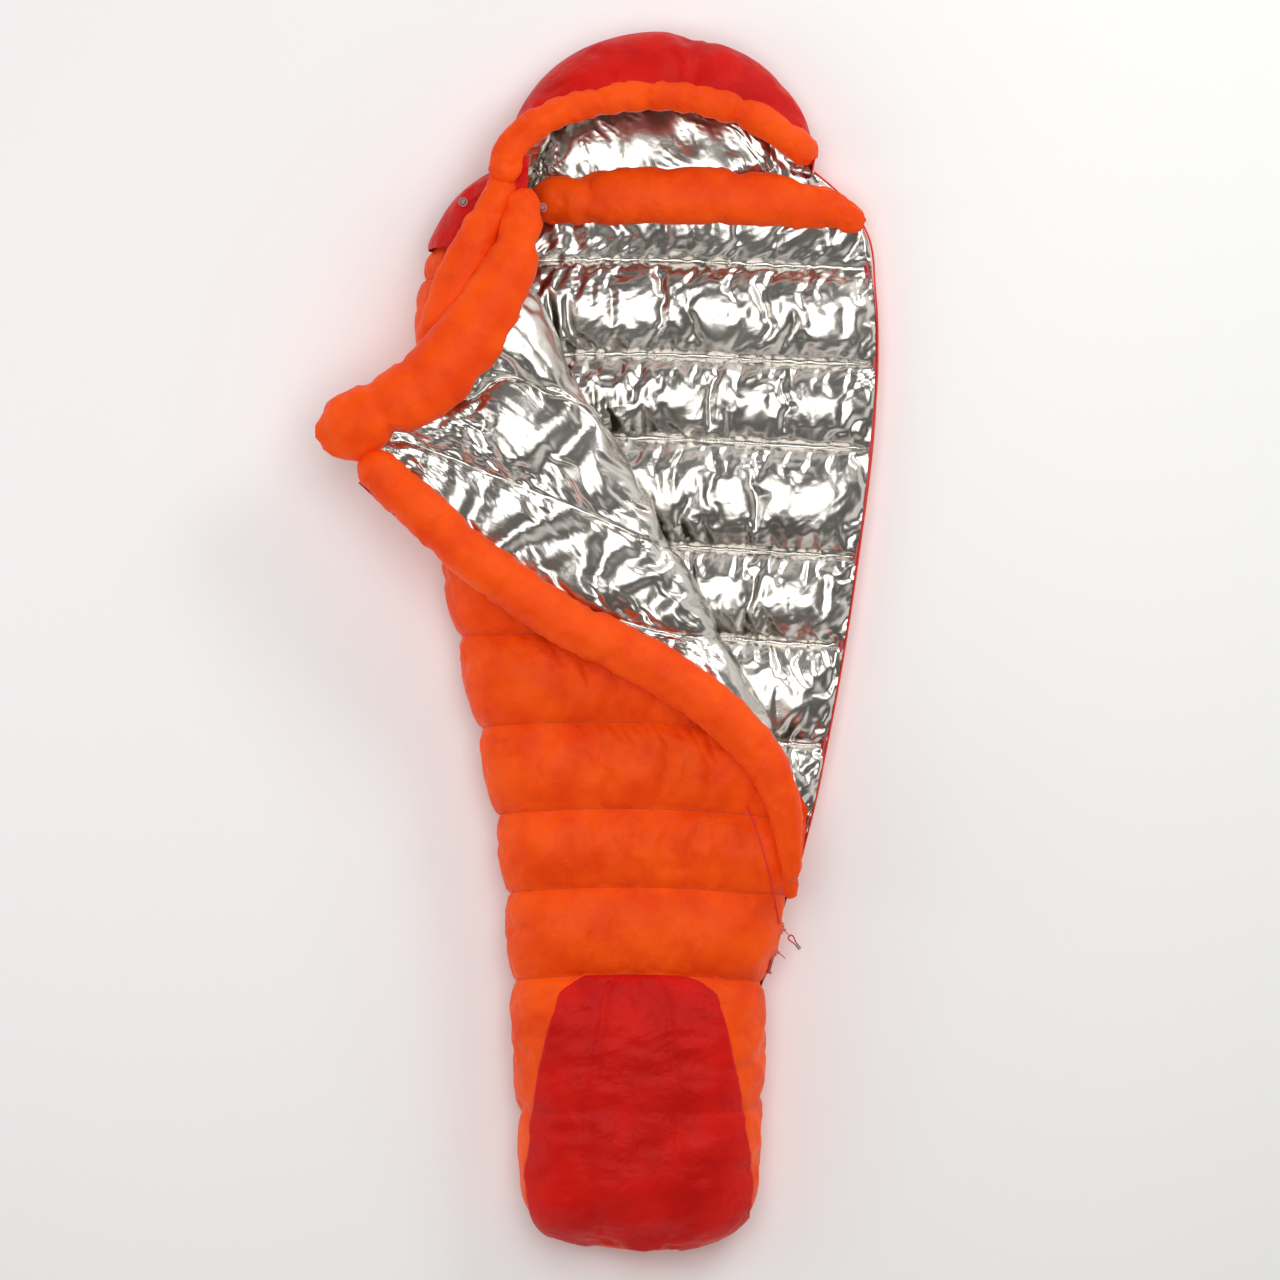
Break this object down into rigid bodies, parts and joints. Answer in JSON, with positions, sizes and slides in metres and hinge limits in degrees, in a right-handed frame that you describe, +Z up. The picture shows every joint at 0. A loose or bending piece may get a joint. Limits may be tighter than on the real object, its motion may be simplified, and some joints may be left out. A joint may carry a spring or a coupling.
{
  "type": "mummy sleeping bag",
  "caption": "Puffy mummy sleeping bag lying on its back, unzipped, its front panel folded back over a hinged crease, with hood, collars and zip.",
  "frame": {"origin": "on the surface the bag rests on, under the middle of its bounding box", "axes": "+Z up out of the floor, +Y from the foot to the hood, +X to the zip side"},
  "size_m": [1.0064, 2.1501, 0.2474],
  "materials": {
    "orange_shell": "satin",
    "red_shell": "satin",
    "silver_lining": "metallic",
    "down_fill": "matte",
    "baffle_mesh": "matte",
    "zip_tape": "matte",
    "zip_coil": "satin",
    "slider_metal": "satin",
    "pull_cord": "matte",
    "pull_grip": "matte",
    "collar_lock_plastic": "gloss",
    "hood_lock_plastic": "gloss",
    "spring_steel": "brushed"
  },
  "bodies": {
    "root": {"back_shell": "orange_shell", "back_lining": "silver_lining", "back_baffle_walls": "baffle_mesh", "back_down_pair_1": "down_fill", "back_down_pair_2": "down_fill", "back_down_pair_3": "down_fill", "back_down_pair_4": "down_fill", "back_down_pair_5": "down_fill", "back_down_pair_6": "down_fill", "front_shell": "orange_shell", "front_lining": "silver_lining", "front_baffle_walls": "baffle_mesh", "front_down_pair_1": "down_fill", "front_down_pair_2": "down_fill", "front_down_pair_3": "down_fill", "front_down_pair_4": "down_fill", "front_down_pair_5": "down_fill", "side_wall_left": "orange_shell", "side_wall_right": "orange_shell", "foot_wall": "orange_shell", "foot_patch": "red_shell", "shoulder_yoke_left": "red_shell", "fold_roll": "silver_lining", "draft_tube_end": "orange_shell", "collar_outer_roll": "orange_shell", "collar_back": "orange_shell", "collar_neck_end": "orange_shell", "hood_shell": "red_shell", "hood_lining": "silver_lining", "hood_face_tube": "orange_shell", "zip_tape_back": "zip_tape", "zip_coil_back": "zip_coil", "zip_tape_closed": "zip_tape", "zip_coil_closed": "zip_coil", "zip_bottom_stop": "slider_metal", "collar_lock_barrel": "collar_lock_plastic", "collar_lock_spring": "spring_steel", "hood_lock_barrel": "hood_lock_plastic", "hood_lock_spring": "spring_steel"},
    "flap": {"flap_shell": "orange_shell", "flap_lining": "silver_lining", "flap_down": "down_fill", "flap_baffle_walls": "baffle_mesh", "draft_tube": "orange_shell", "collar_front": "orange_shell", "zip_tape_flap": "zip_tape", "zip_coil_flap": "zip_coil"},
    "slider_upper": {"slider_upper_body": "slider_metal"},
    "pull_upper": {"pull_upper_tab": "slider_metal", "pull_upper_cord": "pull_cord", "pull_upper_grip": "pull_grip"},
    "slider_lower": {"slider_lower_body": "slider_metal"},
    "pull_lower": {"pull_lower_tab": "slider_metal"},
    "collar_button": {"collar_lock_button": "collar_lock_plastic"},
    "hood_button": {"hood_lock_button": "hood_lock_plastic"}
  },
  "joints": [
    {"name": "flap_fold", "type": "hinge", "parent": "root", "child": "flap", "pos_m": [-0.10615, 0.59203, 0.1602], "axis": [-0.4805, 0.877, 0], "range_deg": [0, 170], "deforming": ["fold_roll"]},
    {"name": "slider_upper_slide", "type": "slide", "parent": "root", "child": "slider_upper", "axis": [-0.2676, -0.9635, 0], "range_m": [0, 0.01]},
    {"name": "pull_upper_swing", "type": "hinge", "parent": "slider_upper", "child": "pull_upper", "pos_m": [0.32891, -0.51437, 0.08], "axis": [0, 0, -1], "range_deg": [-70, 5]},
    {"name": "slider_lower_slide", "type": "slide", "parent": "root", "child": "slider_lower", "axis": [-0.2676, -0.9635, 0], "range_m": [0, 0.026]},
    {"name": "pull_lower_swing", "type": "hinge", "parent": "slider_lower", "child": "pull_lower", "pos_m": [0.31793, -0.55388, 0.08], "axis": [0, 0, -1], "range_deg": [-25, 60]},
    {"name": "collar_lock_press", "type": "slide", "parent": "root", "child": "collar_button", "axis": [0, 0, -1], "range_m": [0, 0.002], "stiffness_N_per_m": 300, "springref_m": -0.001, "deforming": ["collar_lock_spring"]},
    {"name": "hood_lock_press", "type": "slide", "parent": "root", "child": "hood_button", "axis": [0, 0, -1], "range_m": [0, 0.002], "stiffness_N_per_m": 300, "springref_m": -0.001, "deforming": ["hood_lock_spring"]}
  ]
}
